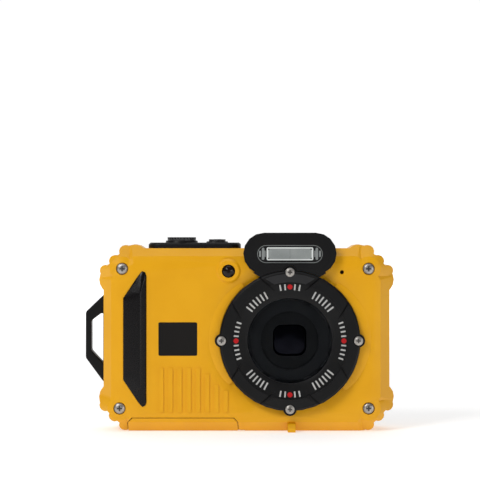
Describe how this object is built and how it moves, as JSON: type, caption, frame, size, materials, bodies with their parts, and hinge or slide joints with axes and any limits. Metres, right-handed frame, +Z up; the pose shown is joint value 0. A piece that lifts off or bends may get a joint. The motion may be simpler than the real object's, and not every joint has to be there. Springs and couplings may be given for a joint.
{
  "type": "waterproof digital camera",
  "caption": "Rugged waterproof compact camera with a bolted lens ring, raised flash, side grip, strap loop, rear screen and keys, and a latched battery door in its base.",
  "frame": {"origin": "middle of the body's width and of its grip depth, on the base it stands on", "axes": "+X to the right seen from the front, +Y from the lens towards the screen, +Z up"},
  "size_m": [0.1202, 0.0279, 0.0768],
  "materials": {
    "yellow_shell": "fine satin paint on moulded polycarbonate",
    "black_plastic": "fine textured moulding",
    "black_trim": "polished moulding",
    "grip_rubber": "dull moulded rubber",
    "seal_rubber": "smooth silicone",
    "key_plastic": "satin moulding",
    "screw_steel": "bright stainless steel",
    "spring_steel": "drawn wire",
    "optical_glass": "polished and coated",
    "lens_plastic": "flat black",
    "diffuser": "frosted clear moulding",
    "reflector": "vacuum metallised",
    "tube_glass": "clear glass",
    "capacitor_can": "sleeved can",
    "lamp_lens": "tinted clear moulding",
    "board": "solder mask over glass fibre",
    "chassis_metal": "pressed sheet",
    "display_glass": "smoked flat glass",
    "display_panel": "dark display with metal frame",
    "sensor": "glass lid over the chip",
    "motor_metal": "plated can",
    "battery_case": "moulded case over the cell",
    "card_plastic": "moulded card",
    "socket_metal": "stamped shell",
    "bush_metal": "turned bush"
  },
  "bodies": {
    "camera": {"front_cover": "yellow_shell", "rear_cover": "yellow_shell", "main_seal": "seal_rubber", "mid_chassis": "chassis_metal", "grip_pad": "grip_rubber", "top_plate": "black_plastic", "shutter_spring": "spring_steel", "top_button_seals": "seal_rubber", "flash_housing": "black_plastic", "lens_ring": "black_plastic", "lens_ring_screws": "screw_steel", "body_screws": "screw_steel", "lens_window": "optical_glass", "lens_window_seal": "seal_rubber", "lens_bezel": "lens_plastic", "lens_mask": "lens_plastic", "front_lens": "optical_glass", "prism": "optical_glass", "lens_block": "lens_plastic", "lens_guide_rods": "spring_steel", "zoom_motor": "motor_metal", "image_sensor": "sensor", "flash_window": "diffuser", "flash_reflector": "reflector", "flash_tube": "tube_glass", "flash_capacitor": "capacitor_can", "af_lamp_lens": "lamp_lens", "microphone": "motor_metal", "main_board": "board", "keypad_board": "board", "lcd_module": "display_panel", "lcd_window": "display_glass", "rear_panel": "black_trim", "zoom_rocker_pin": "spring_steel", "strap_loop": "black_plastic", "door_hinge_pin": "spring_steel", "battery": "battery_case", "battery_bay": "black_plastic", "memory_card": "card_plastic", "usb_socket": "socket_metal", "tripod_socket": "bush_metal"},
    "shutter": {"shutter_button": "key_plastic"},
    "power": {"power_button": "key_plastic"},
    "rocker": {"zoom_rocker": "key_plastic"},
    "door": {"battery_door": "yellow_shell", "door_seal": "seal_rubber"},
    "latch": {"door_latch": "key_plastic"},
    "zoom_group": {"zoom_lens_group": "lens_plastic"},
    "focus_group": {"focus_lens_group": "lens_plastic"},
    "up_key_body": {"up_key": "key_plastic"},
    "down_key_body": {"down_key": "key_plastic"},
    "left_key_body": {"left_key": "key_plastic"},
    "right_key_body": {"right_key": "key_plastic"},
    "ok_button_body": {"ok_button": "key_plastic"},
    "record_button_body": {"record_button": "key_plastic"},
    "menu_button_body": {"menu_button": "key_plastic"},
    "playback_button_body": {"playback_button": "key_plastic"},
    "mode_button_body": {"mode_button": "key_plastic"},
    "delete_button_body": {"delete_button": "key_plastic"}
  },
  "joints": [
    {"name": "shutter_press", "type": "slide", "parent": "camera", "child": "shutter", "axis": [0, 0, -1], "range_m": [0, 0.001], "stiffness_N_per_m": 900, "deforming": ["shutter_spring"]},
    {"name": "power_press", "type": "slide", "parent": "camera", "child": "power", "axis": [0, 0, -1], "range_m": [0, 0.0005], "stiffness_N_per_m": 1500},
    {"name": "zoom_tilt", "type": "hinge", "parent": "camera", "child": "rocker", "pos_m": [-0.0386, 0.0099, 0.0576], "axis": [0, 0, 1], "range_deg": [-4, 4], "stiffness_Nm_per_rad": 0.04},
    {"name": "up_press", "type": "slide", "parent": "camera", "child": "up_key_body", "axis": [0, -1, 0], "range_m": [0, 0.0004], "stiffness_N_per_m": 2500},
    {"name": "down_press", "type": "slide", "parent": "camera", "child": "down_key_body", "axis": [0, -1, 0], "range_m": [0, 0.0004], "stiffness_N_per_m": 2500},
    {"name": "left_press", "type": "slide", "parent": "camera", "child": "left_key_body", "axis": [0, -1, 0], "range_m": [0, 0.0004], "stiffness_N_per_m": 2500},
    {"name": "right_press", "type": "slide", "parent": "camera", "child": "right_key_body", "axis": [0, -1, 0], "range_m": [0, 0.0004], "stiffness_N_per_m": 2500},
    {"name": "ok_press", "type": "slide", "parent": "camera", "child": "ok_button_body", "axis": [0, -1, 0], "range_m": [0, 0.0004], "stiffness_N_per_m": 2500},
    {"name": "record_press", "type": "slide", "parent": "camera", "child": "record_button_body", "axis": [0, -1, 0], "range_m": [0, 0.0004], "stiffness_N_per_m": 2500},
    {"name": "menu_press", "type": "slide", "parent": "camera", "child": "menu_button_body", "axis": [0, -1, 0], "range_m": [0, 0.0004], "stiffness_N_per_m": 2500},
    {"name": "playback_press", "type": "slide", "parent": "camera", "child": "playback_button_body", "axis": [0, -1, 0], "range_m": [0, 0.0004], "stiffness_N_per_m": 2500},
    {"name": "mode_press", "type": "slide", "parent": "camera", "child": "mode_button_body", "axis": [0, -1, 0], "range_m": [0, 0.0004], "stiffness_N_per_m": 2500},
    {"name": "delete_press", "type": "slide", "parent": "camera", "child": "delete_button_body", "axis": [0, -1, 0], "range_m": [0, 0.0004], "stiffness_N_per_m": 2500},
    {"name": "door_hinge", "type": "hinge", "parent": "camera", "child": "door", "pos_m": [-0.002, -0.0022, 0.00125], "axis": [0, -1, 0], "range_deg": [0, 90]},
    {"name": "latch_slide", "type": "slide", "parent": "door", "child": "latch", "axis": [-1, 0, 0], "range_m": [0, 0.002]},
    {"name": "zoom_travel", "type": "slide", "parent": "camera", "child": "zoom_group", "axis": [0, 0, 1], "range_m": [0, 0.0055]},
    {"name": "focus_travel", "type": "slide", "parent": "camera", "child": "focus_group", "axis": [0, 0, 1], "range_m": [-0.0005, 0.003]}
  ]
}
